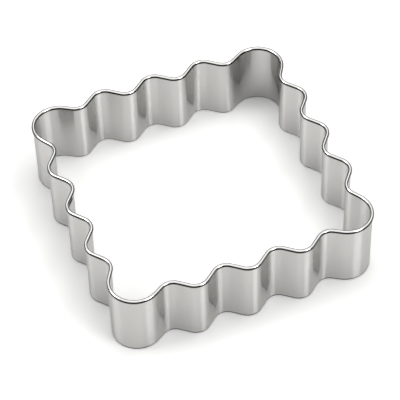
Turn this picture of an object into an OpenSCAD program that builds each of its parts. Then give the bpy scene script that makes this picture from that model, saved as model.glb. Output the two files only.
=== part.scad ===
// Fluted square cookie cutter, in millimetres.
// It stands on its cutting edge at z = 0, centred on the z axis, with the rolled rim on top,
// and measures 75 mm over the flutes. Seen from above, the middle of the wall's sheet follows
// a chain of outward flutes and inward valleys, with one large lobe at each corner. A straight
// flank joins each pair of arcs and touches both smoothly.

/* [Flutes] */
// Number of small flutes along each side
flutes = 3; // [1:1:7]
// Distance from one small flute to the next
flute_pitch = 14.7; // [13.5:0.1:24]
// Depth from the top of a flute to the bottom of a valley
flute_depth = 3.75; // [2:0.05:5.2]
// Radius of a small flute, at the middle of the sheet
flute_r = 3.95; // [2.5:0.05:5.2]
// Radius of a valley, at the middle of the sheet
valley_r = 3.75; // [2.5:0.05:5]

/* [Corners] */
// Radius of a corner lobe, at the middle of the sheet
corner_r = 6.75; // [4:0.05:12]
// Length of the straight flank between a corner lobe and the nearest valley
corner_flank = 2.45; // [0.5:0.05:8]

/* [Wall] */
// Overall height, from the cutting edge to the top of the rim
height = 20; // [12:0.5:60]
// Thickness of the wall's sheet
sheet_t = 0.4; // [0.26:0.02:0.8]
// Width of the flat that is left on the cutting edge
edge_land = 0.2; // [0.1:0.02:0.24]
// Height of the bevel on each face of the cutting edge
edge_bevel = 0.35; // [0.1:0.05:1.5]
// How far each face is drawn in where the sheet is stretched by a bend
bend_loss = 0.005; // [0.003:0.001:0.01]

/* [Rim] */
// Diameter of the wire inside the rim
wire_d = 0.5; // [0.4:0.05:1.2]
// Thickness of the sheet that is rolled round the wire
rim_sheet_t = 0.28; // [0.2:0.02:0.5]
// Clearance between the rolled sheet and what it is closed over
rim_fit = 0.02; // [0.01:0.01:0.05]

/* [Seam] */
// Clearance between the two layers of sheet in the lap
lap_gap = 0.04; // [0.02:0.01:0.1]
// Distance from the upper end of the inner layer up to the rim
lap_drop = 0.5; // [0.2:0.1:3]
// Width of the slit at the end of the outer layer
seam_slit = 0.15; // [0.05:0.05:0.5]
// Number of spot welds, one above the other
spots = 3; // [1:1:5]
// Diameter of a spot weld
spot_d = 1.6; // [0.8:0.1:2.4]
// Depth of the dimple that a spot weld leaves in each face
spot_dimple = 0.06; // [0.02:0.01:0.12]
// Clearance between a spot weld and the sheet around it
spot_fit = 0.02; // [0.01:0.01:0.05]

/* [Hidden] */
satin_steel = "#c4c4c0";
bright_steel = "#dcdcd9";
wire_steel = "#b4b5b6";
weld_grey = "#9c9b97";
// Segments of a full circle
$fn = 96;
// How far a cutting tool reaches past the face that it cuts
past = 1;
// How far a bend runs on inside the straight flank beside it
bend_run = 0.05;

// A flute and the valley beside it: how far apart their centres are, the slope of the flank
// between them, which is half of what the flute's arc turns through, and the flank's length
flute_radii = flute_r + valley_r;
flute_rise = flute_radii - flute_depth;
flute_apart = norm([flute_pitch / 2, flute_rise]);
flank_len = sqrt(pow(flute_apart, 2) - pow(flute_radii, 2));
flute_turn = atan2(flute_pitch / 2, flute_rise) - atan2(flank_len, flute_radii);

// A corner lobe lies diagonally beside the last valley of each side that it joins
corner_radii = corner_r + valley_r;
corner_turn = atan2(corner_radii, corner_flank);
corner_step = norm([corner_radii, corner_flank]) * sin(45);
corner_at = flutes * flute_pitch / 2 + corner_step;
valley_y = corner_at + corner_step;
flute_y = valley_y - flute_rise;

// The rim's sheet is rolled round the wire and closed on the wall's upper edge
rim_bore_r = wire_d / 2 + rim_fit;
rim_r = rim_bore_r + rim_sheet_t;
rim_z = height - rim_r;
rim_mouth = sheet_t + 2 * rim_fit;
wall_top = rim_z - rim_bore_r;

// The seam is in the middle flute of the side that faces -x, where the wall's two ends overlap
seam_side = 1;
seam_flute = floor((flutes - 1) / 2);
lap_shift = sheet_t + lap_gap;
lap_r = flute_r - lap_shift;
lap_top = rim_z - rim_r - lap_drop;
spot_pitch = (lap_top - edge_bevel) / spots;

function on_circle(centre, r, deg) = centre + r * [cos(deg), sin(deg)];
function swapped(point) = [point.y, point.x];
function middle(line) = (line[0] + line[1]) / 2;

// Centres of the arcs of one side, which runs along x and faces +y, counted from its left end
function flute_centre(i) = [(i - (flutes - 1) / 2) * flute_pitch, flute_y];
function valley_centre(i) = [(i - flutes / 2) * flute_pitch, valley_y];
corner_centre = [corner_at, corner_at];

// Flanks as pairs of points, each met in turn by someone who walks along the side to the right
function flank_up_to(i) = [
    on_circle(valley_centre(i), valley_r, 270 + flute_turn),
    on_circle(flute_centre(i), flute_r, 90 + flute_turn)
];
function flank_down_from(i) = [
    on_circle(flute_centre(i), flute_r, 90 - flute_turn),
    on_circle(valley_centre(i + 1), valley_r, 270 - flute_turn)
];
corner_flank_up = [
    on_circle(valley_centre(flutes), valley_r, 225 + corner_turn),
    on_circle(corner_centre, corner_r, 45 + corner_turn)
];

// Sweeps a section along an arc. The section has x across the sheet, outwards from the arc's
// centre, and y upwards. Its faces are drawn in by $loss.
module on_arc(centre, r, from_deg, to_deg) {
    $loss = bend_loss;
    run_deg = bend_run / r * 180 / PI;
    translate(centre)
        rotate(from_deg - run_deg)
            rotate_extrude(angle = to_deg - from_deg + 2 * run_deg)
                translate([r, 0])
                    children();
}

// Sweeps a section along a straight line. The section's x points to the line's left side.
module on_line(from, to) {
    $loss = 0;
    run = to - from;
    translate(from)
        rotate(atan2(run.y, run.x))
            rotate([90, 0, 90])
                linear_extrude(norm(run))
                    children();
}

// Sweeps a section along one side and the corner lobe at its right end
module along_side() {
    for (i = [0 : flutes - 1]) {
        on_line(flank_up_to(i)[0], flank_up_to(i)[1]) children();
        on_arc(flute_centre(i), flute_r, 90 - flute_turn, 90 + flute_turn) children();
        on_line(flank_down_from(i)[0], flank_down_from(i)[1]) children();
    }
    for (i = [0 : flutes]) {
        from_deg = i == 0 ? 315 - corner_turn : 270 - flute_turn;
        to_deg = i == flutes ? 225 + corner_turn : 270 + flute_turn;
        on_arc(valley_centre(i), valley_r, from_deg, to_deg) mirror([1, 0]) children();
    }
    on_line(corner_flank_up[0], corner_flank_up[1]) children();
    on_arc(corner_centre, corner_r, 45 - corner_turn, 45 + corner_turn) children();
    on_line(swapped(corner_flank_up[1]), swapped(corner_flank_up[0])) children();
}

// Sweeps a section along the whole wall
module along_wall() {
    for (side = [0 : 3])
        rotate(90 * side)
            along_side() children();
}

// Places its children at the seam's side
module at_seam() {
    rotate(90 * seam_side) children();
}

// The wall's sheet, with both faces bevelled down to the cutting edge
module sheet_section(top) {
    edge = edge_land / 2 - $loss;
    face = sheet_t / 2 - $loss;
    end = top - $loss;
    polygon([[-edge, 0], [edge, 0], [face, edge_bevel], [face, end], [-face, end], [-face, edge_bevel]]);
}

// The rim's sheet: a ring round the wire, open below where it is closed on the wall
module rim_section() {
    mouth = rim_mouth / 2 + $loss;
    translate([0, rim_z])
        difference() {
            circle(rim_r - $loss);
            circle(rim_bore_r + $loss);
            translate([-mouth, -rim_r - past])
                square([2 * mouth, rim_r + past]);
        }
}

// The inner layer of the lap: the far end of the strip, which passes behind the outer layer
// from the middle of one flank of the seam's flute, over its top and down the other flank
module lap_layer() {
    near = flank_up_to(seam_flute);
    far = flank_down_from(seam_flute);
    on_line(middle(near), near[1]) translate([-lap_shift, 0]) sheet_section(lap_top);
    on_arc(flute_centre(seam_flute), lap_r, 90 - flute_turn, 90 + flute_turn) sheet_section(lap_top);
    on_line(far[0], far[1]) translate([-lap_shift, 0]) sheet_section(lap_top);
}

// Where the inner layer steps out to become the wall again, past the slit
module lap_step() {
    far = flank_down_from(seam_flute);
    way = (far[1] - far[0]) / norm(far[1] - far[0]);
    on_line(middle(far) + way * seam_slit / 2, far[1])
        translate([-lap_shift, edge_bevel])
            square([lap_shift, lap_top - edge_bevel]);
}

// The slit at the end of the outer layer. It stops halfway into the gap in front of the lap.
module seam_cut() {
    far = flank_down_from(seam_flute);
    run = far[1] - far[0];
    translate(middle(far))
        rotate(atan2(run.y, run.x))
            translate([-seam_slit / 2, -(sheet_t + lap_gap) / 2, -past])
                cube([seam_slit, sheet_t + past, height + past]);
}

// A row of round bars through both layers at the top of the seam's flute
module spot_bars(d) {
    for (i = [0 : spots - 1])
        translate(concat(flute_centre(seam_flute), edge_bevel + (i + 0.5) * spot_pitch))
            rotate([-90, 0, 0])
                cylinder(h = flute_r + sheet_t + past, d = d);
}

module fluted_band() {
    color(satin_steel)
        difference() {
            union() {
                difference() {
                    along_wall() sheet_section(wall_top);
                    at_seam() seam_cut();
                }
                at_seam() lap_layer();
                at_seam() lap_step();
            }
            at_seam() spot_bars(spot_d);
        }
}

module rolled_rim() {
    color(bright_steel)
        along_wall() rim_section();
}

module rim_wire() {
    color(wire_steel)
        along_wall() translate([0, rim_z]) circle(wire_d / 2 - $loss);
}

// Each weld fills its hole from one face to the other, less a shallow dimple in each
module spot_welds() {
    inner_r = lap_r - sheet_t / 2 + spot_dimple;
    outer_r = flute_r + sheet_t / 2 - spot_dimple;
    color(weld_grey)
        at_seam()
            intersection() {
                spot_bars(spot_d - 2 * spot_fit);
                on_arc(flute_centre(seam_flute), inner_r, 0, 180) square([outer_r - inner_r, lap_top]);
            }
}

fluted_band();
rolled_rim();
rim_wire();
spot_welds();
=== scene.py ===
"""Dresses a fluted square cookie cutter and sets it on a pale table in plain studio light.

The cutter is a strip of stainless sheet, bent into flutes and spot welded where its ends lap, with a rim that
is rolled round a wire.
"""

import logging
import math
from dataclasses import dataclass
from enum import Enum
from typing import Any, Callable, NamedTuple, Sequence

import bmesh
import bpy
from bmesh.types import BMesh, BMLayerItem, BMVert
from bpy.types import ID, Material, Mesh, Node, NodeSocket, NodeTree, Object
from mathutils import Matrix, Vector


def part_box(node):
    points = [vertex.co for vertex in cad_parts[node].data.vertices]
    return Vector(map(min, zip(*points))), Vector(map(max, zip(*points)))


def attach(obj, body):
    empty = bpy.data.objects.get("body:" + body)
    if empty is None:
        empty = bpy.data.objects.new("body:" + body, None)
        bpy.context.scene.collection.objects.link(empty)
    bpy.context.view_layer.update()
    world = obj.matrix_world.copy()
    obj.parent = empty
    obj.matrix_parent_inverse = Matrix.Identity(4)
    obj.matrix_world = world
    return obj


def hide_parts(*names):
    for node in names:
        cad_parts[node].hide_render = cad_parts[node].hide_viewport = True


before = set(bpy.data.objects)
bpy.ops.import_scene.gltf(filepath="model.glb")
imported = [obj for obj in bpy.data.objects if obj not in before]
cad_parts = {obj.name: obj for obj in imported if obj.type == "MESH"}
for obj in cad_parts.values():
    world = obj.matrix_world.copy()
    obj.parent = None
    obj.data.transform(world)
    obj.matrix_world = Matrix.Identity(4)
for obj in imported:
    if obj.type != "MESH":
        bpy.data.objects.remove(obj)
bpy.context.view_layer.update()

# Millimetres are the unit of every size below, and a mesh is in metres
MM = 0.001
# UV layer of a swept piece: the share of the way along it, and of the way round its section
STRIP_UV = "strip"
# An edge at which a mesh turns by more than this stays sharp
SHARP_DEG = 32
# A flank is drawn in two parts, because the seam lies at the middle of one
FLANK_PARTS = 2
# One pitch of the outline is a valley, a flank, a flute and the flank that leads down from it, in this order
PITCH_STRETCHES = 4
DOWN_FLANK = 3
# Thickness of the wall's sheet, and the clearance between its two layers in the lap
WALL_SHEET = 0.4
LAP_GAP = 0.04
# Noise stays near 0.5, so only these parts of its range are spread over a pattern's whole strength
NOISE_SPAN = (0.3, 0.7)
GRAIN_SPAN = (0.25, 0.75)
# Octaves of noise in the grain and in the streaks
GRAIN_OCTAVES = 3
STREAK_OCTAVES = 2
# A quarter turn, after which the shader's blur runs across the strip, as grain along the strip makes it
ACROSS_STRIP = 0.25
# A path of light that no matte face has turned yet has a diffuse depth below this
FIRST_BOUNCE = 0.5
WHITE = (1.0, 1.0, 1.0, 1.0)

log = logging.getLogger("cookie_cutter")

Point = tuple[float, float]
Section = Sequence[Point]
Colour = NodeSocket | tuple[float, float, float, float]
# Gives how far from the middle plane the end of a weld lies, from y and the share of the weld's radius
EndFace = Callable[[float, float], float]


def linear(hex_colour: str) -> tuple[float, float, float, float]:
    """Turns an sRGB hex colour into the linear colour that a shader takes.

    Args:
        hex_colour: The colour as "#rrggbb".

    Returns:
        Linear red, green and blue, and an alpha of 1.
    """
    channels = [int(hex_colour[i : i + 2], 16) / 255 for i in (1, 3, 5)]
    red, green, blue = (c / 12.92 if c <= 0.04045 else ((c + 0.055) / 1.055) ** 2.4 for c in channels)
    return red, green, blue, 1.0


def add_node(tree: NodeTree, kind: str, settings: dict[str, Any] | None = None, **sockets: Any) -> Node:
    """Adds one node, with its settings, its input values and its links.

    Args:
        tree: The node tree that gets the node.
        kind: Blender's name for the node's type.
        settings: Properties of the node itself.
        **sockets: What each input takes, where an underscore stands for a space and in0 is the first input.
            An output socket is linked, and anything else is a value.

    Returns:
        The new node.
    """
    node = tree.nodes.new(kind)
    for name, value in (settings or {}).items():
        setattr(node, name, value)
    for name, value in sockets.items():
        numbered = name[:2] == "in" and name[2:].isdigit()
        socket = node.inputs[int(name[2:]) if numbered else name.replace("_", " ")]
        if isinstance(value, NodeSocket):
            tree.links.new(value, socket)
        else:
            socket.default_value = value
    return node


def stain_or_shade(
    tree: NodeTree, value: NodeSocket, span: tuple[float, float], clean: Colour, stain_or_shade_colour: str
) -> NodeSocket:
    """Lets one colour turn softly into another, for a real stain or for painted shade.

    Args:
        tree: The node tree that gets the nodes.
        value: What the change follows.
        span: The values at which it begins and is complete.
        clean: The first colour.
        stain_or_shade_colour: The second colour, as "#rrggbb".

    Returns:
        The mixed colour.
    """
    share = add_node(
        tree,
        "ShaderNodeMapRange",
        {"interpolation_type": "SMOOTHSTEP"},
        Value=value,
        From_Min=span[0],
        From_Max=span[1],
    )
    # The Mix node's inputs in6 and in7 are its two colours
    mixed = add_node(
        tree,
        "ShaderNodeMix",
        {"data_type": "RGBA"},
        Factor=share.outputs["Result"],
        in6=clean,
        in7=linear(stain_or_shade_colour),
    )
    return mixed.outputs["Result"]


def blank_material(name: str) -> Material:
    """Makes a material whose node tree is empty."""
    material = bpy.data.materials.new(name)
    material.use_nodes = True
    material.node_tree.nodes.clear()
    return material


def put(name: str, data: ID) -> Object:
    """Makes an object of a mesh, a lamp or a camera, and links it to the scene."""
    thing = bpy.data.objects.new(name, data)
    bpy.context.scene.collection.objects.link(thing)
    return thing


def eased(share: float) -> float:
    """Returns a share that starts and ends softly on its way from 0 to 1."""
    return share * share * (3 - 2 * share)


class Side(Enum):
    """The cutter's sides, as quarter turns from the back, in the order of a clockwise walk."""

    BACK = 0
    RIGHT = 1
    FRONT = 2
    LEFT = 3


class Station(NamedTuple):
    """One place on the middle line of the wall's sheet, seen from above."""

    x: float
    y: float
    out_x: float
    out_y: float
    run: float

    def place(self, across: float, z: float) -> Vector:
        """Returns the point that lies across millimetres outwards from here, at height z, in metres."""
        return Vector((self.x + across * self.out_x, self.y + across * self.out_y, z)) * MM


@dataclass(frozen=True)
class Bend:
    """A round stretch of the outline. A negative turn bows outwards, and a positive one bows inwards."""

    centre: Point
    radius: float
    start_deg: float
    turn_deg: float

    def steps(self, step_deg: float) -> int:
        """Returns how many equal parts the bend is drawn in."""
        return math.ceil(abs(self.turn_deg) / step_deg)

    def at(self, share: float) -> tuple[float, float, float, float]:
        """Finds a place on the bend.

        Args:
            share: Share of the length, from 0 at the start to 1 at the end.

        Returns:
            The point there and its outward normal, as x, y, out_x and out_y.
        """
        angle = math.radians(self.start_deg + share * self.turn_deg)
        side = -math.copysign(1, self.turn_deg)
        cos, sin = math.cos(angle), math.sin(angle)
        return self.centre[0] + self.radius * cos, self.centre[1] + self.radius * sin, side * cos, side * sin


@dataclass(frozen=True)
class Flank:
    """A straight stretch of the outline."""

    start: Point
    end: Point

    def steps(self, step_deg: float) -> int:
        """Returns how many equal parts the flank is drawn in, which no angle sets."""
        return FLANK_PARTS

    def at(self, share: float) -> tuple[float, float, float, float]:
        """Finds a place on the flank.

        Args:
            share: Share of the length, from 0 at the start to 1 at the end.

        Returns:
            The point there and its outward normal, as x, y, out_x and out_y.
        """
        (x0, y0), (x1, y1) = self.start, self.end
        length = math.dist(self.start, self.end)
        way_x, way_y = (x1 - x0) / length, (y1 - y0) / length
        return x0 + share * (x1 - x0), y0 + share * (y1 - y0), -way_y, way_x


@dataclass(frozen=True)
class Outline:
    """The middle line of the wall's sheet: flutes, valleys and corner lobes, joined by straight flanks.

    The line is walked clockwise, seen from above, with its outer side on the left.
    """

    flutes: int = 3
    flute_pitch: float = 14.7
    flute_depth: float = 3.75
    flute_r: float = 3.95
    valley_r: float = 3.75
    corner_r: float = 6.75
    corner_flank: float = 2.45
    seam_side: Side = Side.LEFT
    step_deg: float = 3.0

    @property
    def flute_rise(self) -> float:
        """How far the centre of a valley lies outside that of a flute."""
        return self.flute_r + self.valley_r - self.flute_depth

    @property
    def flute_turn(self) -> float:
        """Half of what the arc of a flute or a valley turns through, in degrees."""
        radii = self.flute_r + self.valley_r
        apart = math.hypot(self.flute_pitch / 2, self.flute_rise)
        flank = math.sqrt(apart**2 - radii**2)
        return math.degrees(math.atan2(self.flute_pitch / 2, self.flute_rise) - math.atan2(flank, radii))

    @property
    def corner_turn(self) -> float:
        """Half of what a corner lobe turns through, in degrees."""
        return math.degrees(math.atan2(self.corner_r + self.valley_r, self.corner_flank))

    @property
    def corner_at(self) -> float:
        """Distance of a corner lobe's centre from both middle planes."""
        return self.flutes * self.flute_pitch / 2 + self._corner_step

    @property
    def flute_at(self) -> float:
        """Distance of the flutes' centres from the middle plane of their side."""
        return self.corner_at + self._corner_step - self.flute_rise

    @property
    def reach(self) -> float:
        """Distance of the tops of the flutes from the middle plane."""
        return self.flute_at + self.flute_r

    @property
    def _corner_step(self) -> float:
        """Distance along a side from the last valley's centre to the corner lobe's."""
        return math.hypot(self.corner_r + self.valley_r, self.corner_flank) * math.sin(math.radians(45))

    def _side(self) -> list[Bend | Flank]:
        """Draws the side that faces +Y.

        Angles are in degrees from +X. The side faces 90, a valley has its floor at 270 and the lobe faces 45.

        Returns:
            The stretches from the side's first valley to the lobe at its right end and the flank after it.
        """
        valley_y = self.corner_at + self._corner_step
        turn, corner_turn = self.flute_turn, self.corner_turn
        bends: list[Bend] = []
        for i in range(self.flutes + 1):
            start = 315 - corner_turn if i == 0 else 270 - turn
            end = 225 + corner_turn if i == self.flutes else 270 + turn
            valley_x = (i - self.flutes / 2) * self.flute_pitch
            bends.append(Bend((valley_x, valley_y), self.valley_r, start, end - start))
            if i < self.flutes:
                flute_x = valley_x + self.flute_pitch / 2
                bends.append(Bend((flute_x, self.flute_at), self.flute_r, 90 + turn, -2 * turn))
        lobe = (self.corner_at, self.corner_at)
        bends.append(Bend(lobe, self.corner_r, 45 + corner_turn, -2 * corner_turn))
        stretches: list[Bend | Flank] = []
        for bend, following in zip(bends, bends[1:]):
            stretches += [bend, Flank(bend.at(1)[:2], following.at(0)[:2])]
        (x, y), (to_x, to_y) = bends[-1].at(1)[:2], bends[0].at(0)[:2]
        return [*stretches, bends[-1], Flank((x, y), (to_y, -to_x))]

    def stations(self) -> list[Station]:
        """Walks once round the outline.

        Returns:
            The stations from the seam back to the same place. The seam is in the middle flute of its side, at
            the middle of the flank that leads down from the flute's top.
        """
        sides = [(self.seam_side.value + i) % len(Side) for i in range(len(Side))]
        stretches = [(stretch, side) for side in sides for stretch in self._side()]
        seam = PITCH_STRETCHES * (self.flutes // 2) + DOWN_FLANK
        around = stretches[seam:] + stretches[: seam + 1]
        found: list[Station] = []
        run = 0.0
        for number, (stretch, side) in enumerate(around):
            steps = stretch.steps(self.step_deg)
            first = steps // 2 if number == 0 else 1
            last = steps // 2 if number == len(around) - 1 else steps
            angle = -math.pi / 2 * side
            cos, sin = math.cos(angle), math.sin(angle)
            for i in range(first, last + 1):
                x, y, out_x, out_y = stretch.at(i / steps)
                place = (
                    x * cos - y * sin,
                    x * sin + y * cos,
                    out_x * cos - out_y * sin,
                    out_x * sin + out_y * cos,
                )
                if found:
                    run += math.dist(place[:2], found[-1][:2])
                found.append(Station(*place, run))
        return found


def sweep(
    name: str, stations: Sequence[Station], section: Callable[[Station], Section], closed: bool
) -> Object:
    """Makes a solid by carrying a closed section along stations.

    Args:
        name: Name of the piece.
        stations: Where the section stands. Each one's run gives the UV along the piece.
        section: Gives the section's points at a station, as (outwards, upwards), always in the same number.
        closed: Whether the last station leads back to the first.

    Returns:
        The new object, with a UV layer that goes from 0 to 1 along the piece and round its section.
    """
    mesh = bmesh.new()
    uv = mesh.loops.layers.uv.new(STRIP_UV)
    length = stations[-1].run - stations[0].run
    first = section(stations[0])
    count = len(first)
    edges = [math.dist(first[j], first[(j + 1) % count]) for j in range(count)]
    around = [sum(edges[:j]) / sum(edges) for j in range(count + 1)]
    along = [(station.run - stations[0].run) / length for station in stations]
    rings = stations[:-1] if closed else stations
    rows = [[mesh.verts.new(station.place(*point)) for point in section(station)] for station in rings]
    for i in range(len(stations) - 1):
        here, there = rows[i], rows[(i + 1) % len(rows)]
        for j in range(count):
            k = (j + 1) % count
            face = mesh.faces.new((here[j], there[j], there[k], here[k]))
            corners = ((i, j), (i + 1, j), (i + 1, j + 1), (i, j + 1))
            for loop, (at, turn) in zip(face.loops, corners):
                loop[uv].uv = (along[at], around[turn])
    if not closed:
        mesh.faces.new(rows[0])
        mesh.faces.new(rows[-1])
    return finished(name, mesh)


def finished(name: str, mesh: BMesh) -> Object:
    """Makes a smooth-shaded object of a mesh and leaves its edges sharp where they are.

    Args:
        name: Name of the piece.
        mesh: The closed mesh, which is freed.

    Returns:
        The new object, linked to the scene.
    """
    bmesh.ops.recalc_face_normals(mesh, faces=mesh.faces)
    data = bpy.data.meshes.new(name)
    mesh.to_mesh(data)
    mesh.free()
    smooth(data)
    return put(name, data)


def smooth(data: Mesh) -> None:
    """Shades a mesh smooth, apart from its sharp edges."""
    data.polygons.foreach_set("use_smooth", [True] * len(data.polygons))
    data.set_sharp_from_angle(angle=math.radians(SHARP_DEG))


@dataclass(frozen=True)
class SteelFinish:
    """A finish on stainless steel, the usual 18/8 kind for kitchen tools.

    The grain and the streaks are marks of how the sheet or wire was made: grain lies along the strip, because
    rolls and dies drew it that way, and streaks stand across it, where the forming rollers bent it.
    """

    name: str
    colour: str
    roughness: float
    anisotropy: float
    # Spacing of the grain lines, which is finer on the real steel and is drawn as coarse as it needs to show
    grain_mm: float
    grain_length_mm: float
    grain_roughness: float
    streak_mm: float
    streak_length_mm: float
    streak_shade: float
    bump_mm: float
    # Tint of what the steel mirrors at a grazing angle, where the grain of a dull face shades itself
    grazing_tint: str = "#ffffff"

    def build(self, length_mm: float, girth_mm: float) -> Material:
        """Makes the material.

        Args:
            length_mm: Real length that the UV layer's first axis covers.
            girth_mm: Real length that its second axis covers.

        Returns:
            The material, which reads the strip's UV layer.
        """
        material = blank_material(self.name)
        tree = material.node_tree
        uv = add_node(tree, "ShaderNodeUVMap", {"uv_map": STRIP_UV})
        grains = (length_mm / self.grain_length_mm, girth_mm / self.grain_mm)
        streaks = (length_mm / self.streak_mm, girth_mm / self.streak_length_mm)
        grain = self.marks(tree, uv, grains, GRAIN_OCTAVES)
        streak = self.marks(tree, uv, streaks, STREAK_OCTAVES)
        shade = add_node(
            tree,
            "ShaderNodeMapRange",
            Value=streak,
            From_Min=NOISE_SPAN[0],
            From_Max=NOISE_SPAN[1],
            To_Min=1 - self.streak_shade,
            To_Max=1,
        )
        colour = add_node(
            tree,
            "ShaderNodeVectorMath",
            {"operation": "SCALE"},
            in0=linear(self.colour)[:3],
            Scale=shade.outputs["Result"],
        )
        rough = add_node(
            tree,
            "ShaderNodeMapRange",
            Value=grain,
            From_Min=GRAIN_SPAN[0],
            From_Max=GRAIN_SPAN[1],
            To_Min=self.roughness - self.grain_roughness,
            To_Max=self.roughness + self.grain_roughness,
        )
        bump = add_node(tree, "ShaderNodeBump", Strength=1.0, Distance=self.bump_mm * MM, Height=grain)
        tangent = add_node(tree, "ShaderNodeTangent", {"direction_type": "UV_MAP", "uv_map": STRIP_UV})
        shader = add_node(
            tree,
            "ShaderNodeBsdfPrincipled",
            Metallic=1.0,
            Anisotropic=self.anisotropy,
            Anisotropic_Rotation=ACROSS_STRIP,
            Base_Color=self.coloured(tree, uv, colour.outputs["Vector"], girth_mm),
            Specular_Tint=linear(self.grazing_tint),
            Roughness=rough.outputs["Result"],
            Normal=bump.outputs["Normal"],
            Tangent=tangent.outputs["Tangent"],
        )
        add_node(tree, "ShaderNodeOutputMaterial", Surface=shader.outputs["BSDF"])
        return material

    def marks(self, tree: NodeTree, uv: Node, counts: Point, octaves: float) -> NodeSocket:
        """Draws fine lines on the strip.

        Args:
            tree: The material's node tree.
            uv: The node that gives the strip's UV layer.
            counts: How many marks follow each other along the strip, and round its section.
            octaves: Octaves of the noise.

        Returns:
            The marks, as a value round 0.5.
        """
        scaled = add_node(
            tree, "ShaderNodeVectorMath", {"operation": "MULTIPLY"}, in0=uv.outputs["UV"], in1=(*counts, 0)
        )
        noise = add_node(
            tree,
            "ShaderNodeTexNoise",
            {"noise_dimensions": "2D"},
            Vector=scaled.outputs["Vector"],
            Scale=1.0,
            Detail=octaves,
        )
        return noise.outputs["Fac"]

    def coloured(self, tree: NodeTree, uv: Node, colour: NodeSocket, girth_mm: float) -> NodeSocket:
        """Returns the colour that the shader takes, which a finish with painted shade changes."""
        return colour


@dataclass(frozen=True)
class SheetFinish(SteelFinish):
    """The wall's finish: the sheet as it left the mill, with shade painted along its ground cutting edge."""

    # Colour of the painted shade along the cutting edge
    edge_shade_colour: str = "#5c5b59"
    # Height of the painted shade band on each face, and of its soft upper border
    edge_shade_mm: float = 0.5
    blend_mm: float = 0.1

    def coloured(self, tree: NodeTree, uv: Node, colour: NodeSocket, girth_mm: float) -> NodeSocket:
        """Paints shade on both faces of the cutting edge, where the wall stands on the table.

        Args:
            tree: The material's node tree.
            uv: The node that gives the strip's UV layer.
            colour: The colour of the sheet.
            girth_mm: Real length that the UV layer's second axis covers.

        Returns:
            The colour that the shader takes.
        """
        split = add_node(tree, "ShaderNodeSeparateXYZ", Vector=uv.outputs["UV"])
        # The section starts and ends on the cutting edge, so the sheet's top is half way round it
        half_way = 0.5
        centred = add_node(
            tree, "ShaderNodeMath", {"operation": "SUBTRACT"}, in0=half_way, in1=split.outputs["Y"]
        )
        from_top = add_node(tree, "ShaderNodeMath", {"operation": "ABSOLUTE"}, in0=centred.outputs["Value"])
        edge = girth_mm / 2 - self.edge_shade_mm
        span = ((edge - self.blend_mm) / girth_mm, edge / girth_mm)
        return stain_or_shade(tree, from_top.outputs["Value"], span, colour, self.edge_shade_colour)


# Cold-rolled sheet with a dull mill finish, bent between rollers. It mirrors softly: the rolls' grain runs
# round the cutter, so what it mirrors is drawn out up and down, and the steel has a warm grey of its own.
SATIN_SHEET = SheetFinish(
    name="rolled_stainless_sheet",
    colour="#bfbebc",
    grazing_tint="#e7e7e6",
    roughness=0.22,
    anisotropy=0.75,
    grain_mm=0.2,
    grain_length_mm=9,
    grain_roughness=0.03,
    streak_mm=1.1,
    streak_length_mm=60,
    streak_shade=0.02,
    bump_mm=0.0002,
)

# Hard-drawn wire, pulled through a die: dull, with long draw lines. The rim hides it all round.
DRAWN_WIRE = SteelFinish(
    name="drawn_stainless_wire",
    colour="#b4b5b6",
    roughness=0.34,
    anisotropy=0.4,
    grain_mm=0.1,
    grain_length_mm=12,
    grain_roughness=0.05,
    streak_mm=2,
    streak_length_mm=4,
    streak_shade=0.08,
    bump_mm=0.001,
)


@dataclass(frozen=True, kw_only=True)
class RolledFinish(SteelFinish):
    """The rim's finish: burnished by the rolling tool to a bright crown, with shade painted on where it meets
    the wall.
    """

    # Distance of the crown from the first lip, round the section, and how far from the crown the painted
    # shade of the crease begins and is full
    crown_mm: float
    shade_from_mm: float
    shade_full_mm: float
    # Colour of the painted shade in the crease
    crease_shade_colour: str = "#363432"

    def coloured(self, tree: NodeTree, uv: Node, colour: NodeSocket, girth_mm: float) -> NodeSocket:
        """Paints shade on the steel towards the crease, where the roll meets the wall.

        Args:
            tree: The material's node tree.
            uv: The node that gives the strip's UV layer.
            colour: The colour of the steel where no shade is painted.
            girth_mm: Real length that the UV layer's second axis covers.

        Returns:
            The colour that the shader takes.
        """
        split = add_node(tree, "ShaderNodeSeparateXYZ", Vector=uv.outputs["UV"])
        around = add_node(
            tree,
            "ShaderNodeMath",
            {"operation": "MULTIPLY_ADD"},
            in0=split.outputs["Y"],
            in1=girth_mm,
            in2=-self.crown_mm,
        )
        from_crown = add_node(tree, "ShaderNodeMath", {"operation": "ABSOLUTE"}, in0=around.outputs["Value"])
        span = (self.shade_from_mm, self.shade_full_mm)
        return stain_or_shade(tree, from_crown.outputs["Value"], span, colour, self.crease_shade_colour)


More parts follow.
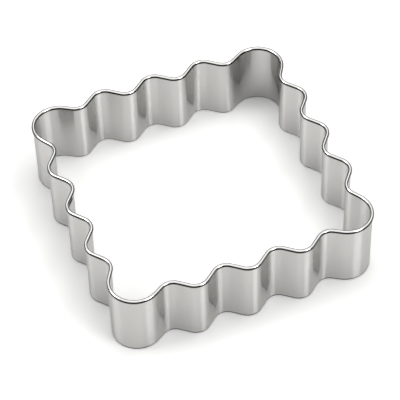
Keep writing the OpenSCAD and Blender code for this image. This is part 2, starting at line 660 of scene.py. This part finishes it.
@dataclass(frozen=True)
class WeldFinish:
    """A spot weld's finish: the sheet's own steel, pressed dull by the electrode, with a trace of heat.

    The heat draws a straw tint at the weld's rim, and a wipe with pickling paste has all but taken it off.
    """

    name: str = "spot_welded_stainless"
    pressed: str = "#bdbcb8"
    heated: str = "#a8a294"
    roughness: float = 0.34
    # How much smoother and rougher than that the steel is in places
    smoother: float = 0.04
    rougher: float = 0.08
    # Share of the radius from which the heat shows
    heat_from: float = 0.72
    pit_mm: float = 0.16
    pit_octaves: float = 2
    pit_depth_mm: float = 0.003

    def build(self) -> Material:
        """Makes the material.

        Returns:
            The material, which reads the share of the weld's radius from the UV layer.
        """
        material = blank_material(self.name)
        tree = material.node_tree
        uv = add_node(tree, "ShaderNodeUVMap", {"uv_map": STRIP_UV})
        split = add_node(tree, "ShaderNodeSeparateXYZ", Vector=uv.outputs["UV"])
        colour = stain_or_shade(
            tree, split.outputs["X"], (self.heat_from, 1.0), linear(self.pressed), self.heated
        )
        place = add_node(tree, "ShaderNodeTexCoord")
        pits = add_node(
            tree,
            "ShaderNodeTexNoise",
            Vector=place.outputs["Object"],
            Scale=1 / (self.pit_mm * MM),
            Detail=self.pit_octaves,
        )
        rough = add_node(
            tree,
            "ShaderNodeMapRange",
            Value=pits.outputs["Fac"],
            From_Min=NOISE_SPAN[0],
            From_Max=NOISE_SPAN[1],
            To_Min=self.roughness - self.smoother,
            To_Max=self.roughness + self.rougher,
        )
        bump = add_node(
            tree, "ShaderNodeBump", Strength=1.0, Distance=self.pit_depth_mm * MM, Height=pits.outputs["Fac"]
        )
        shader = add_node(
            tree,
            "ShaderNodeBsdfPrincipled",
            Metallic=1.0,
            Base_Color=colour,
            Roughness=rough.outputs["Result"],
            Normal=bump.outputs["Normal"],
        )
        add_node(tree, "ShaderNodeOutputMaterial", Surface=shader.outputs["BSDF"])
        return material


@dataclass
class SpotWelds:
    """The row of spot welds through both layers of the lap, at the top of the seam's flute."""

    outline: Outline
    sheet: float = WALL_SHEET
    lap_gap: float = LAP_GAP
    count: int = 3
    # Clearance of a weld in its hole
    fit: float = 0.02
    # Depth of the electrode's mark at the middle of a weld, and the share of it that is left at the rim
    dimple: float = 0.06
    rim_share: float = 0.2
    # The drills for the holes start this far outside the outline, and end twice as far inside it
    drill_past: float = 1.0
    # Parts in which a weld's end is drawn, from its middle to its rim and round it
    rings: int = 8
    segments: int = 48

    @property
    def radius(self) -> float:
        """Radius of a weld."""
        low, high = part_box("spot_welds")
        return (high.y - low.y) / 2 / MM

    def build(self) -> Object:
        """Makes the welds: plugs of fused steel whose dished ends follow the two faces of the lap.

        Returns:
            The piece, which rides on the body.
        """
        piece = self.bars("weld_nuggets", self.radius, self.outer_end, self.inner_end)
        piece.data.materials.append(WeldFinish().build())
        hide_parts("spot_welds")
        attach(piece, "root")
        return piece

    def drill(self, wall: Object) -> None:
        """Cuts the holes that the welds fill, each with its clearance.

        Args:
            wall: The wall, whose mesh is replaced by the drilled one.
        """
        outer = self.outline.reach + self.drill_past
        inner = self.outline.reach - 2 * self.drill_past
        drills = self.bars(
            "weld_drills", self.radius + self.fit, lambda y, share: outer, lambda y, share: inner
        )
        cut = wall.modifiers.new("weld_holes", "BOOLEAN")
        cut.operation = "DIFFERENCE"
        cut.solver = "EXACT"
        cut.object = drills
        solid = bpy.data.meshes.new_from_object(wall.evaluated_get(bpy.context.evaluated_depsgraph_get()))
        wall.modifiers.clear()
        wall.data = solid
        smooth(solid)
        bpy.data.objects.remove(drills)

    def dished(self, share: float) -> float:
        """Returns how deep the electrode has pressed at this share of the weld's radius."""
        return self.dimple * (1 - (1 - self.rim_share) * eased(share))

    def outer_end(self, y: float, share: float) -> float:
        """Returns how far from the middle plane a weld's outer end lies."""
        radius = self.outline.flute_r + self.sheet / 2 - self.dished(share)
        return self.outline.flute_at + math.sqrt(radius**2 - y**2)

    def inner_end(self, y: float, share: float) -> float:
        """Returns how far from the middle plane a weld's inner end lies, on the lap's inner layer."""
        radius = self.outline.flute_r - self.sheet - self.lap_gap - self.sheet / 2 + self.dished(share)
        return self.outline.flute_at + math.sqrt(radius**2 - y**2)

    def bars(self, name: str, radius: float, outer: EndFace, inner: EndFace) -> Object:
        """Makes one round bar for each weld, square to the seam's side.

        Args:
            name: Name of the object that holds the bars.
            radius: Radius of a bar.
            outer: The face of a bar's outer end.
            inner: The face of its inner end.

        Returns:
            The new object, whose UV layer holds the share of the radius and of a full turn.
        """
        low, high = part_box("spot_welds")
        first, last = low.z / MM + self.radius, high.z / MM - self.radius
        mesh = bmesh.new()
        uv = mesh.loops.layers.uv.new(STRIP_UV)
        for i in range(self.count):
            z = first + (last - first) * i / max(self.count - 1, 1)
            ends = [self.end(mesh, uv, radius, z, outer), self.end(mesh, uv, radius, z, inner)]
            for k in range(self.segments):
                near = (k + 1) % self.segments
                face = mesh.faces.new((ends[0][k], ends[0][near], ends[1][near], ends[1][k]))
                for loop, turn in zip(face.loops, (k, k + 1, k + 1, k)):
                    loop[uv].uv = (1.0, turn / self.segments)
        return finished(name, mesh)

    def end(
        self, mesh: BMesh, uv: BMLayerItem, radius: float, middle_z: float, distance: EndFace
    ) -> list[BMVert]:
        """Makes one end of a bar out of rings.

        Args:
            mesh: The mesh that gets the end.
            uv: The UV layer, for the share of the radius and of a full turn.
            radius: Radius of the bar.
            middle_z: Height of its axis.
            distance: The face of the end.

        Returns:
            The vertices of the end's rim.
        """
        rows: list[list[BMVert]] = []
        for ring in range(1, self.rings + 1):
            share = ring / self.rings
            row = []
            for k in range(self.segments):
                turn = 2 * math.pi * k / self.segments
                y = share * radius * math.cos(turn)
                z = middle_z + share * radius * math.sin(turn)
                row.append(mesh.verts.new(Vector((-distance(y, share), y, z)) * MM))
            rows.append(row)
        centre = mesh.verts.new(Vector((-distance(0, 0), 0, middle_z)) * MM)
        for k in range(self.segments):
            near = (k + 1) % self.segments
            face = mesh.faces.new((centre, rows[0][k], rows[0][near]))
            for loop, place in zip(face.loops, ((0, k), (1, k), (1, k + 1))):
                loop[uv].uv = (place[0] / self.rings, place[1] / self.segments)
            for ring, (inside, outside) in enumerate(zip(rows, rows[1:]), 1):
                face = mesh.faces.new((inside[k], outside[k], outside[near], inside[near]))
                places = ((ring, k), (ring + 1, k), (ring + 1, k + 1), (ring, k + 1))
                for loop, place in zip(face.loops, places):
                    loop[uv].uv = (place[0] / self.rings, place[1] / self.segments)
        return rows[-1]


@dataclass
class FlutedWall:
    """The strip of sheet that makes the wall, lapped over itself and spot welded at the seam."""

    outline: Outline
    welds: SpotWelds
    sheet: float = WALL_SHEET
    # Width of the flat on the cutting edge, height of the bevels above it, and the rounding of their corners
    edge_land: float = 0.2
    edge_bevel: float = 0.35
    edge_round: float = 0.02
    # How steeply a bevel rises where it is rounded off into the face
    shoulder_slope: float = 3
    lap_gap: float = LAP_GAP
    # How far below the rim the inner layer of the lap ends
    lap_drop: float = 0.5
    seam_slit: float = 0.15
    # Length over which the sheet steps out from the lap's inner layer to the outer one, and its drawn parts
    joggle: float = 1.3
    joggle_parts: int = 8
    # Distances past the joggle between which the sheet's top climbs from the lap's height to the full one
    notch_end: tuple[float, float] = (0.05, 0.1)
    # Distance from a face's border to the row of points that keeps the shading of the face flat
    support: float = 0.1

    def section(self, across: float, top: float) -> list[Point]:
        """Draws the section of the sheet.

        Args:
            across: How far outside the outline the middle of the sheet lies.
            top: Height of its upper edge.

        Returns:
            The points from the outer end of the cutting edge up, and back down on the inside.
        """
        land, face = self.edge_land / 2, self.sheet / 2
        outer = [
            (land - self.edge_round, 0.0),
            (land, self.edge_round),
            (face - self.edge_round / self.shoulder_slope, self.edge_bevel - self.edge_round),
            (face, self.edge_bevel + self.edge_round),
            (face, self.edge_bevel + self.support),
            (face, top - self.support),
            (face, top),
        ]
        inner = [(-u, z) for u, z in reversed(outer)]
        return [(across + u, z) for u, z in outer + inner]

    def build(self) -> Object:
        """Makes the wall as one strip: the lap's inner layer, the joggle and the way round to the slit.

        Returns:
            The piece, which rides on the body.
        """
        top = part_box("fluted_band")[1].z / MM
        lap_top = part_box("rolled_rim")[0].z / MM - self.lap_drop
        shift = self.sheet + self.lap_gap
        loop = self.outline.stations()
        length = loop[-1].run
        lap_start = length - self.lap_length()
        inner = [s._replace(run=s.run - length) for s in loop if lap_start <= s.run]
        outer = [s for s in loop if 0 < s.run < length]
        start = self.between(loop, self.seam_slit / 2)
        end = self.between(loop, length - self.seam_slit / 2)
        joggles = [
            self.between(loop, self.seam_slit / 2 + self.joggle * i / self.joggle_parts)
            for i in range(1, self.joggle_parts + 1)
        ]
        notch = [self.between(loop, joggles[-1].run + past) for past in self.notch_end]
        found = {s.run: s for s in [*inner[:-1], start, *joggles, *notch, *outer, end] if s.run <= end.run}
        stations = [found[run] for run in sorted(found)]

        def shape(station: Station) -> list[Point]:
            """Returns the sheet's section at a station, which is lower and further in on the inner layer."""
            across = -shift * (1 - eased(min(max((station.run - start.run) / self.joggle, 0), 1)))
            return self.section(across, lap_top if station.run <= notch[0].run else top)

        piece = sweep("wall_sheet", stations, shape, closed=False)
        self.welds.drill(piece)
        girth = 2 * (top + self.sheet)
        piece.data.materials.append(SATIN_SHEET.build(stations[-1].run - stations[0].run, girth))
        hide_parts("fluted_band")
        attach(piece, "root")
        return piece

    def lap_length(self) -> float:
        """Works out the length of the lap.

        Returns:
            The length of half a flank, the flute and half the next flank, along the outline.
        """
        flute = self.outline.flute_r * math.radians(2 * self.outline.flute_turn)
        radii = self.outline.flute_r + self.outline.valley_r
        flank = math.sqrt(self.outline.flute_pitch**2 / 4 + self.outline.flute_rise**2 - radii**2)
        return flute + flank

    @staticmethod
    def between(loop: Sequence[Station], run: float) -> Station:
        """Finds the station at a run.

        Args:
            loop: Stations in the order of their runs.
            run: Distance along the outline.

        Returns:
            The station, on the straight line between its two neighbours in the loop.
        """
        for a, b in zip(loop, loop[1:]):
            if a.run <= run <= b.run:
                share = (run - a.run) / (b.run - a.run)
                return Station(*(p + share * (q - p) for p, q in zip(a, b)))
        raise ValueError(f"the outline has no place at {run} mm")


@dataclass
class RolledRim:
    """The rim's sheet, rolled round the wire and closed on the top of the wall."""

    outline: Outline
    sheet: float = 0.28
    # Width of the slot between the lips, which the wall stands in
    mouth: float = 0.44
    # Angles from the crown at which the painted shade of the crease begins and is full
    shade_from_deg: float = 56
    shade_full_deg: float = 70
    # Most that one part of the outer face turns, and one of the hidden bore
    step_deg: float = 6.0
    bore_step_deg: float = 18.0

    def build(self) -> Object:
        """Makes the ring of sheet.

        Returns:
            The piece, which rides on the body.
        """
        low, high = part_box("rim_wire")
        middle = (low.z + high.z) / 2 / MM
        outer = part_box("rolled_rim")[1].y / MM - self.outline.reach
        section = self.section(outer, middle)
        stations = self.outline.stations()
        piece = sweep("rim_roll", stations, lambda station: section, closed=True)
        girth = sum(math.dist(a, b) for a, b in zip(section, section[1:] + section[:1]))
        finish = RolledFinish(
            name="burnished_rim",
            colour="#f7f6f4",
            roughness=0.05,
            anisotropy=0.3,
            grain_mm=0.12,
            grain_length_mm=9,
            grain_roughness=0.03,
            streak_mm=2.2,
            streak_length_mm=60,
            streak_shade=0.03,
            bump_mm=0.0004,
            crown_mm=outer * math.pi - math.asin(self.mouth / 2 / outer) * outer,
            shade_from_mm=outer * math.radians(self.shade_from_deg),
            shade_full_mm=outer * math.radians(self.shade_full_deg),
        )
        piece.data.materials.append(finish.build(stations[-1].run, girth))
        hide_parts("rolled_rim")
        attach(piece, "root")
        return piece

    def section(self, outer: float, middle: float) -> list[Point]:
        """Draws the rolled section, whose mouth is below.

        Args:
            outer: Radius of the roll's outer face.
            middle: Height of the roll's centre.

        Returns:
            The points of the outer face from lip to lip, and of the bore back again.
        """
        bore = outer - self.sheet
        points: list[Point] = []
        for radius, way, step_deg in ((outer, 1, self.step_deg), (bore, -1, self.bore_step_deg)):
            gap = math.degrees(math.asin(self.mouth / 2 / radius))
            turn = 360 - 2 * gap
            steps = math.ceil(turn / step_deg)
            for i in range(steps + 1):
                angle = math.radians(-90 + way * (gap + turn * i / steps))
                points.append((radius * math.cos(angle), middle + radius * math.sin(angle)))
        return points


@dataclass
class RimWire:
    """The round wire inside the rim."""

    outline: Outline
    sides: int = 20

    def build(self) -> Object:
        """Makes the ring of wire.

        Returns:
            The piece, which rides on the body.
        """
        low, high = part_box("rim_wire")
        radius, middle = (high.z - low.z) / 2 / MM, (low.z + high.z) / 2 / MM
        turns = [2 * math.pi * i / self.sides for i in range(self.sides)]
        section = [(radius * math.cos(t), middle + radius * math.sin(t)) for t in turns]
        stations = self.outline.stations()
        piece = sweep("wire_ring", stations, lambda station: section, closed=True)
        piece.data.materials.append(DRAWN_WIRE.build(stations[-1].run, 2 * math.pi * radius))
        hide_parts("rim_wire")
        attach(piece, "root")
        return piece


@dataclass(frozen=True)
class Softbox:
    """A square softbox that hangs over the cutter and faces it.

    Its azimuth is counted from +X. Its brightness is that of its face, where 1 is white. One that isn't
    mirrored doesn't show in the steel.
    """

    name: str
    azimuth: float
    elevation: float
    size: float
    brightness: float
    distance: float = 700
    mirrored: bool = True

    def hang(self) -> None:
        """Makes the lamp, with the power that gives its face the brightness."""
        lamp = bpy.data.lights.new(self.name, "AREA")
        lamp.shape = "SQUARE"
        lamp.size = self.size * MM
        lamp.energy = self.brightness * math.pi * lamp.size**2
        azimuth, elevation = math.radians(self.azimuth), math.radians(self.elevation)
        level = math.cos(elevation)
        away = Vector((math.cos(azimuth) * level, math.sin(azimuth) * level, math.sin(elevation)))
        hung = put(self.name, lamp)
        hung.location = away * self.distance * MM
        hung.rotation_euler = away.to_track_quat("Z", "Y").to_euler()
        hung.visible_glossy = self.mirrored


@dataclass
class Studio:
    """The table, the lights and the camera."""

    table_size: float = 6000
    # How far the table lies below the cutting edge, so that no two faces coincide
    table_drop: float = 0.02
    table_paper: str = "#f2f2f1"
    # How many times as bright the table shows as it lights the cutter, and the share of plain white in it
    table_gain: float = 1.42
    table_glow: float = 0.12
    # Distances from the cutter's middle at which the table begins to fade to plain white, and is all white
    shadow_reach: float = 140
    white_past: float = 500
    # The table's smooth coat
    table_roughness: float = 0.12
    table_ior: float = 1.8
    # How bright the white surroundings are as a light
    fill: float = 0.25
    softboxes: tuple[Softbox, ...] = (
        Softbox("overhead_softbox", azimuth=40, elevation=79, size=600, brightness=2.35, mirrored=False),
        Softbox("right_softbox", azimuth=-56, elevation=46, size=270, brightness=6),
        Softbox("left_softbox", azimuth=158, elevation=48, size=320, brightness=3.3),
    )
    flag_radius: float = 420
    flag_height: float = 330
    flag_parts: int = 72
    flag_felt: str = "#1a1a1a"
    # Angles of the camera, its distance from the point that it aims at, and how far that point lies to the
    # right of the cutter's axis and up from it in the picture, and over the cutting edge
    azimuth: float = -20.617
    elevation: float = 48.802
    roll: float = -1.744
    distance: float = 526.456
    aim_right: float = 0.245
    aim_up: float = -8.515
    aim_height: float = 19.45
    lens: float = 176.935
    sensor: float = 36

    def build(self) -> None:
        """Sets the table, the lights and the camera up."""
        self.table()
        self.surroundings()
        for softbox in self.softboxes:
            softbox.hang()
        self.flag()
        self.camera()

    def shown(self, tree: NodeTree) -> NodeSocket:
        """Tells what is looked at from what only lights.

        Args:
            tree: The node tree that gets the nodes.

        Returns:
            1 for what the camera sees directly, mirrored or through glass, and 0 for other light.
        """
        path = add_node(tree, "ShaderNodeLightPath")
        seen = path.outputs["Is Camera Ray"]
        for kind in ("Is Glossy Ray", "Is Transmission Ray"):
            either = add_node(
                tree, "ShaderNodeMath", {"operation": "MAXIMUM"}, in0=seen, in1=path.outputs[kind]
            )
            seen = either.outputs["Value"]
        direct = add_node(
            tree,
            "ShaderNodeMath",
            {"operation": "LESS_THAN"},
            in0=path.outputs["Diffuse Depth"],
            in1=FIRST_BOUNCE,
        )
        both = add_node(
            tree, "ShaderNodeMath", {"operation": "MULTIPLY"}, in0=seen, in1=direct.outputs["Value"]
        )
        return both.outputs["Value"]

    def table(self) -> None:
        """Makes the white table, which keeps the cutter's shadow.

        It shows brighter than it lights the cutter. The camera sees its matte face alone, and what the steel
        mirrors of it also has the sheen of a smooth coat.
        """
        half = self.table_size / 2
        corners = [(-half, -half), (half, -half), (half, half), (-half, half)]
        data = bpy.data.meshes.new("table")
        data.from_pydata([Vector((x, y, -self.table_drop)) * MM for x, y in corners], [], [(0, 1, 2, 3)])
        material = blank_material("white_table")
        tree = material.node_tree
        mixed = add_node(
            tree,
            "ShaderNodeMixShader",
            in0=self.shown(tree),
            in1=self.paper(tree, gain=1, glow=0),
            in2=self.paper(tree, self.table_gain, self.table_glow),
        )
        sheen = add_node(tree, "ShaderNodeBsdfGlossy", Roughness=self.table_roughness)
        coated = add_node(
            tree,
            "ShaderNodeMixShader",
            in0=add_node(tree, "ShaderNodeFresnel", IOR=self.table_ior).outputs["Fac"],
            in1=mixed.outputs["Shader"],
            in2=sheen.outputs["BSDF"],
        )
        matte = add_node(
            tree,
            "ShaderNodeMixShader",
            in0=add_node(tree, "ShaderNodeLightPath").outputs["Is Camera Ray"],
            in1=coated.outputs["Shader"],
            in2=self.paper(tree, self.table_gain, self.whiteness(tree)),
        )
        add_node(tree, "ShaderNodeOutputMaterial", Surface=matte.outputs["Shader"])
        data.materials.append(material)
        put("table", data)

    def whiteness(self, tree: NodeTree) -> NodeSocket:
        """Lets the table fade to plain white far away, for the camera.

        Args:
            tree: The table's node tree.

        Returns:
            The share of plain white in the table.
        """
        place = add_node(tree, "ShaderNodeTexCoord")
        away = add_node(tree, "ShaderNodeVectorMath", {"operation": "LENGTH"}, in0=place.outputs["Object"])
        share = add_node(
            tree,
            "ShaderNodeMapRange",
            {"interpolation_type": "SMOOTHSTEP"},
            Value=away.outputs["Value"],
            From_Min=self.shadow_reach * MM,
            From_Max=self.white_past * MM,
            To_Min=self.table_glow,
            To_Max=1.0,
        )
        return share.outputs["Result"]

    def paper(self, tree: NodeTree, gain: float, glow: float | NodeSocket) -> NodeSocket:
        """Makes the table's matte white face, which keeps the cutter's shadow.

        Args:
            tree: The table's node tree.
            gain: How many times as bright as real paper it looks.
            glow: Share of plain white in it, which lightens the shadow.

        Returns:
            The shader of the face.
        """
        colour = (*(gain * channel for channel in linear(self.table_paper)[:3]), 1)
        lit = add_node(tree, "ShaderNodeBsdfDiffuse", Color=colour)
        white = add_node(tree, "ShaderNodeEmission", Color=WHITE, Strength=1.0)
        face = add_node(
            tree, "ShaderNodeMixShader", in0=glow, in1=lit.outputs["BSDF"], in2=white.outputs["Emission"]
        )
        return face.outputs["Shader"]

    def surroundings(self) -> None:
        """Makes the plain white surroundings, which show brighter than they light the cutter."""
        world = bpy.data.worlds.new("white_room")
        world.use_nodes = True
        tree = world.node_tree
        tree.nodes.clear()
        soft = add_node(tree, "ShaderNodeBackground", Color=WHITE, Strength=self.fill)
        white = add_node(tree, "ShaderNodeBackground", Color=WHITE, Strength=1.0)
        mixed = add_node(
            tree,
            "ShaderNodeMixShader",
            in0=self.shown(tree),
            in1=soft.outputs["Background"],
            in2=white.outputs["Background"],
        )
        add_node(tree, "ShaderNodeOutputWorld", Surface=mixed.outputs["Shader"])
        bpy.context.scene.world = world

    def flag(self) -> None:
        """Stands a ring of black felt round the cutter, which gives the bright rim its dark outline.

        It shows only in what the steel mirrors, and throws no shadow. Its ends meet on the camera's side.
        """
        data = bpy.data.meshes.new("black_flag")
        behind = math.radians(90 + self.azimuth)
        points: list[Vector] = []
        for i in range(self.flag_parts + 1):
            angle = behind + math.pi * (2 * i / self.flag_parts - 1)
            x, y = self.flag_radius * math.cos(angle), self.flag_radius * math.sin(angle)
            points += [Vector((x, y, z)) * MM for z in (0, self.flag_height)]
        faces = [(2 * i, 2 * i + 2, 2 * i + 3, 2 * i + 1) for i in range(self.flag_parts)]
        data.from_pydata(points, [], faces)
        material = blank_material("black_felt")
        felt = add_node(material.node_tree, "ShaderNodeBsdfDiffuse", Color=linear(self.flag_felt))
        add_node(material.node_tree, "ShaderNodeOutputMaterial", Surface=felt.outputs["BSDF"])
        data.materials.append(material)
        card = put("black_flag", data)
        card.visible_camera = False
        card.visible_diffuse = False
        card.visible_shadow = False

    def camera(self) -> None:
        """Sets the camera at the photograph's viewing angle."""
        azimuth, elevation, roll = (math.radians(a) for a in (self.azimuth, self.elevation, self.roll))
        flat = math.cos(elevation)
        back = Vector((math.sin(azimuth) * flat, -math.cos(azimuth) * flat, math.sin(elevation)))
        level = Vector((math.cos(azimuth), math.sin(azimuth), 0))
        upright = back.cross(level)
        right = math.cos(roll) * level + math.sin(roll) * upright
        up = math.cos(roll) * upright - math.sin(roll) * level
        data = bpy.data.cameras.new("camera")
        data.sensor_width = self.sensor
        data.lens = self.lens
        camera = put("camera", data)
        aim = self.aim_right * right + self.aim_up * up
        place = aim + self.distance * back + Vector((0, 0, self.aim_height))
        turn = Matrix((right, up, back)).transposed().to_4x4()
        camera.matrix_world = Matrix.Translation(place * MM) @ turn
        bpy.context.scene.camera = camera


def main() -> None:
    """Builds the cutter's pieces in order, then the set."""
    logging.basicConfig(level=logging.INFO, format="%(name)s: %(message)s")
    outline = Outline()
    welds = SpotWelds(outline)
    for maker in (FlutedWall(outline, welds), RolledRim(outline), RimWire(outline), welds):
        piece = maker.build()
        log.info("%s: %d vertices, %d faces", piece.name, len(piece.data.vertices), len(piece.data.polygons))
    Studio().build()
    bpy.context.scene.view_settings.view_transform = "Standard"


if __name__ == "__main__":
    main()
